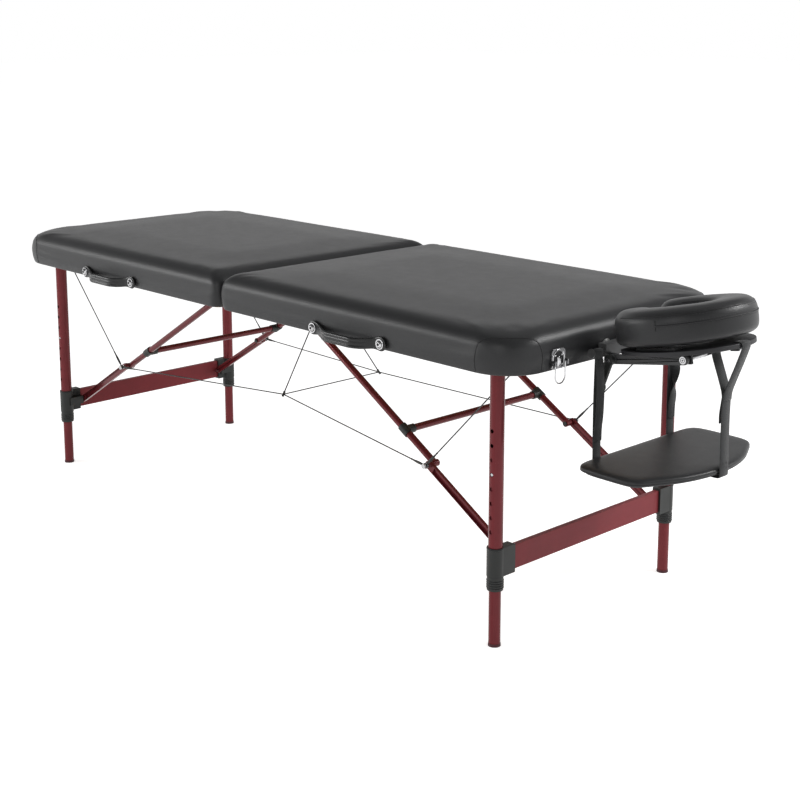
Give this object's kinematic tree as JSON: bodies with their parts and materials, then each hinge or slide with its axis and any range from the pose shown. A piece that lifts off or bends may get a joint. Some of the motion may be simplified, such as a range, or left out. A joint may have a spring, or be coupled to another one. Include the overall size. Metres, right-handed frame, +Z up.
{
  "type": "portable folding tattoo bed",
  "caption": "Portable folding tattoo and massage bed: padded top that folds like a case, height-set tube legs with cable-stayed braces, face cradle and hanging arm shelf.",
  "frame": {"origin": "on the floor, under the middle of the split between the two halves of the top", "axes": "+X along the table towards the headrest, +Y towards the back long side, away from the handles, +Z up"},
  "size_m": [2.1411, 0.7303, 0.7217],
  "materials": {
    "vinyl": "charcoal black upholstery vinyl with a fine grain, satin",
    "plywood": "thin birch plywood, bare",
    "frame_wood": "softwood rails, bare",
    "maroon_tube": "dark red anodised aluminium tube, satin",
    "black_plastic": "moulded black plastic, matt",
    "handle_plastic": "ribbed black strap handle, satin",
    "black_steel": "black powder-coated steel",
    "black_board": "black-stained plywood cradle board",
    "chrome": "bright nickel and chrome plate",
    "zinc_steel": "zinc-plated steel",
    "cable_steel": "coated steel wire rope, dark",
    "foot_rubber": "black rubber",
    "webbing": "black polyester webbing",
    "hook_tape": "black hook-and-loop tape"
  },
  "bodies": {
    "foot_half": {"foot_pad": "vinyl", "foot_deck": "plywood", "foot_frame": "frame_wood", "foot_hinge_leaves": "zinc_steel", "foot_handle": "handle_plastic", "foot_brackets": "zinc_steel", "foot_bolts": "chrome", "latch_keepers": "chrome", "foot_cables": "cable_steel", "center_cable": "cable_steel"},
    "hinge_pins": {"hinge_pins": "zinc_steel"},
    "head_half": {"head_pad": "vinyl", "head_deck": "plywood", "head_frame": "frame_wood", "head_hinge_leaves": "zinc_steel", "head_handle": "handle_plastic", "head_brackets": "zinc_steel", "head_bolts": "chrome", "latch_plates": "chrome", "headrest_sockets": "zinc_steel", "head_cables": "cable_steel"},
    "head_legs": {"head_outer_legs": "maroon_tube", "head_leg_fittings": "black_plastic", "head_leg_crossbar": "maroon_tube"},
    "head_upper_braces": {"head_upper_braces": "maroon_tube", "head_brace_clamps": "black_plastic"},
    "head_lower_braces": {"head_lower_braces": "maroon_tube", "head_brace_pins": "chrome"},
    "head_inner_leg_near": {"head_inner_leg_near": "maroon_tube", "head_foot_tip_near": "foot_rubber"},
    "head_button_near": {"head_button_near": "chrome"},
    "head_inner_leg_far": {"head_inner_leg_far": "maroon_tube", "head_foot_tip_far": "foot_rubber"},
    "head_button_far": {"head_button_far": "chrome"},
    "foot_legs": {"foot_outer_legs": "maroon_tube", "foot_leg_fittings": "black_plastic", "foot_leg_crossbar": "maroon_tube"},
    "foot_upper_braces": {"foot_upper_braces": "maroon_tube", "foot_brace_clamps": "black_plastic"},
    "foot_lower_braces": {"foot_lower_braces": "maroon_tube", "foot_brace_pins": "chrome"},
    "foot_inner_leg_near": {"foot_inner_leg_near": "maroon_tube", "foot_foot_tip_near": "foot_rubber"},
    "foot_button_near": {"foot_button_near": "chrome"},
    "foot_inner_leg_far": {"foot_inner_leg_far": "maroon_tube", "foot_foot_tip_far": "foot_rubber"},
    "foot_button_far": {"foot_button_far": "chrome"},
    "latch_bail_near": {"latch_bail_near": "chrome"},
    "latch_bail_far": {"latch_bail_far": "chrome"},
    "headrest_base": {"headrest_base": "black_steel", "headrest_tilt_bolts": "chrome", "arm_shelf": "vinyl", "shelf_straps": "webbing", "front_strap": "webbing"},
    "headrest_arms": {"headrest_arms": "black_steel", "headrest_axle": "chrome"},
    "headrest_platform": {"headrest_platform": "black_board", "cushion_strips": "hook_tape", "headrest_cushion": "vinyl"},
    "tilt_lever": {"tilt_lever": "black_plastic"}
  },
  "joints": [
    {"name": "fold_with_legs", "type": "hinge", "parent": "foot_half", "child": "hinge_pins", "pos_m": [0, 0, 0.577], "axis": [0, 1, 0], "range_deg": [0, 90], "deforming": ["head_cables", "foot_cables", "center_cable"]},
    {"name": "fold_shut", "type": "hinge", "parent": "hinge_pins", "child": "head_half", "pos_m": [0, 0, 0.577], "axis": [0, 1, 0], "range_deg": [0, 90], "deforming": ["head_cables", "foot_cables", "center_cable"]},
    {"name": "head_leg_fold", "type": "hinge", "parent": "head_half", "child": "head_legs", "pos_m": [0.829, 0, 0.601], "axis": [0, 1, 0], "range_deg": [0, 90]},
    {"name": "head_upper_brace_fold", "type": "hinge", "parent": "head_half", "child": "head_upper_braces", "pos_m": [0.094, 0, 0.613], "axis": [0, -1, 0], "range_deg": [0, 30.92]},
    {"name": "head_lower_brace_fold", "type": "hinge", "parent": "head_legs", "child": "head_lower_braces", "pos_m": [0.817, 0, 0.18], "axis": [0, 1, 0], "range_deg": [0, 59.08]},
    {"name": "head_inner_leg_near_slide", "type": "slide", "parent": "head_legs", "child": "head_inner_leg_near", "axis": [0, 0, 1], "range_m": [-0.12, 0.09]},
    {"name": "head_button_near_press", "type": "slide", "parent": "head_inner_leg_near", "child": "head_button_near", "axis": [0, 1, 0], "range_m": [0, 0.0035], "stiffness_N_per_m": 600, "springref_m": -0.004},
    {"name": "head_inner_leg_far_slide", "type": "slide", "parent": "head_legs", "child": "head_inner_leg_far", "axis": [0, 0, 1], "range_m": [-0.12, 0.09]},
    {"name": "head_button_far_press", "type": "slide", "parent": "head_inner_leg_far", "child": "head_button_far", "axis": [0, -1, 0], "range_m": [0, 0.0035], "stiffness_N_per_m": 600, "springref_m": -0.004},
    {"name": "foot_leg_fold", "type": "hinge", "parent": "foot_half", "child": "foot_legs", "pos_m": [-0.829, 0, 0.601], "axis": [0, -1, 0], "range_deg": [0, 90]},
    {"name": "foot_upper_brace_fold", "type": "hinge", "parent": "foot_half", "child": "foot_upper_braces", "pos_m": [-0.094, 0, 0.613], "axis": [0, 1, 0], "range_deg": [0, 30.92]},
    {"name": "foot_lower_brace_fold", "type": "hinge", "parent": "foot_legs", "child": "foot_lower_braces", "pos_m": [-0.817, 0, 0.18], "axis": [0, -1, 0], "range_deg": [0, 59.08]},
    {"name": "foot_inner_leg_near_slide", "type": "slide", "parent": "foot_legs", "child": "foot_inner_leg_near", "axis": [0, 0, 1], "range_m": [-0.12, 0.09]},
    {"name": "foot_button_near_press", "type": "slide", "parent": "foot_inner_leg_near", "child": "foot_button_near", "axis": [0, 1, 0], "range_m": [0, 0.0035], "stiffness_N_per_m": 600, "springref_m": -0.004},
    {"name": "foot_inner_leg_far_slide", "type": "slide", "parent": "foot_legs", "child": "foot_inner_leg_far", "axis": [0, 0, 1], "range_m": [-0.12, 0.09]},
    {"name": "foot_button_far_press", "type": "slide", "parent": "foot_inner_leg_far", "child": "foot_button_far", "axis": [0, -1, 0], "range_m": [0, 0.0035], "stiffness_N_per_m": 600, "springref_m": -0.004},
    {"name": "latch_bail_near_swing", "type": "hinge", "parent": "head_half", "child": "latch_bail_near", "pos_m": [0.9333, -0.219, 0.6], "axis": [0, -1, 0], "range_deg": [0, 150]},
    {"name": "latch_bail_far_swing", "type": "hinge", "parent": "head_half", "child": "latch_bail_far", "pos_m": [0.9333, 0.219, 0.6], "axis": [0, -1, 0], "range_deg": [0, 150]},
    {"name": "headrest_slide", "type": "slide", "parent": "head_half", "child": "headrest_base", "axis": [1, 0, 0], "range_m": [0, 0.09]},
    {"name": "headrest_tilt", "type": "hinge", "parent": "headrest_base", "child": "headrest_arms", "pos_m": [0.962, 0, 0.59], "axis": [0, -1, 0], "range_deg": [-30, 15], "deforming": ["front_strap"]},
    {"name": "platform_tilt", "type": "hinge", "parent": "headrest_arms", "child": "headrest_platform", "pos_m": [1.13, 0, 0.618], "axis": [0, 1, 0], "range_deg": [0, 30], "deforming": ["front_strap"]},
    {"name": "tilt_lever_turn", "type": "hinge", "parent": "headrest_base", "child": "tilt_lever", "pos_m": [0.962, 0, 0.59], "axis": [0, -1, 0], "range_deg": [0, 100]}
  ],
  "couplings": [
    {"joint": "head_leg_fold", "follows": "fold_with_legs", "ratio": 1},
    {"joint": "head_upper_brace_fold", "follows": "fold_with_legs", "ratio": 0.34352},
    {"joint": "head_lower_brace_fold", "follows": "fold_with_legs", "ratio": 0.65648},
    {"joint": "foot_leg_fold", "follows": "fold_with_legs", "ratio": 1},
    {"joint": "foot_upper_brace_fold", "follows": "fold_with_legs", "ratio": 0.34352},
    {"joint": "foot_lower_brace_fold", "follows": "fold_with_legs", "ratio": 0.65648}
  ]
}
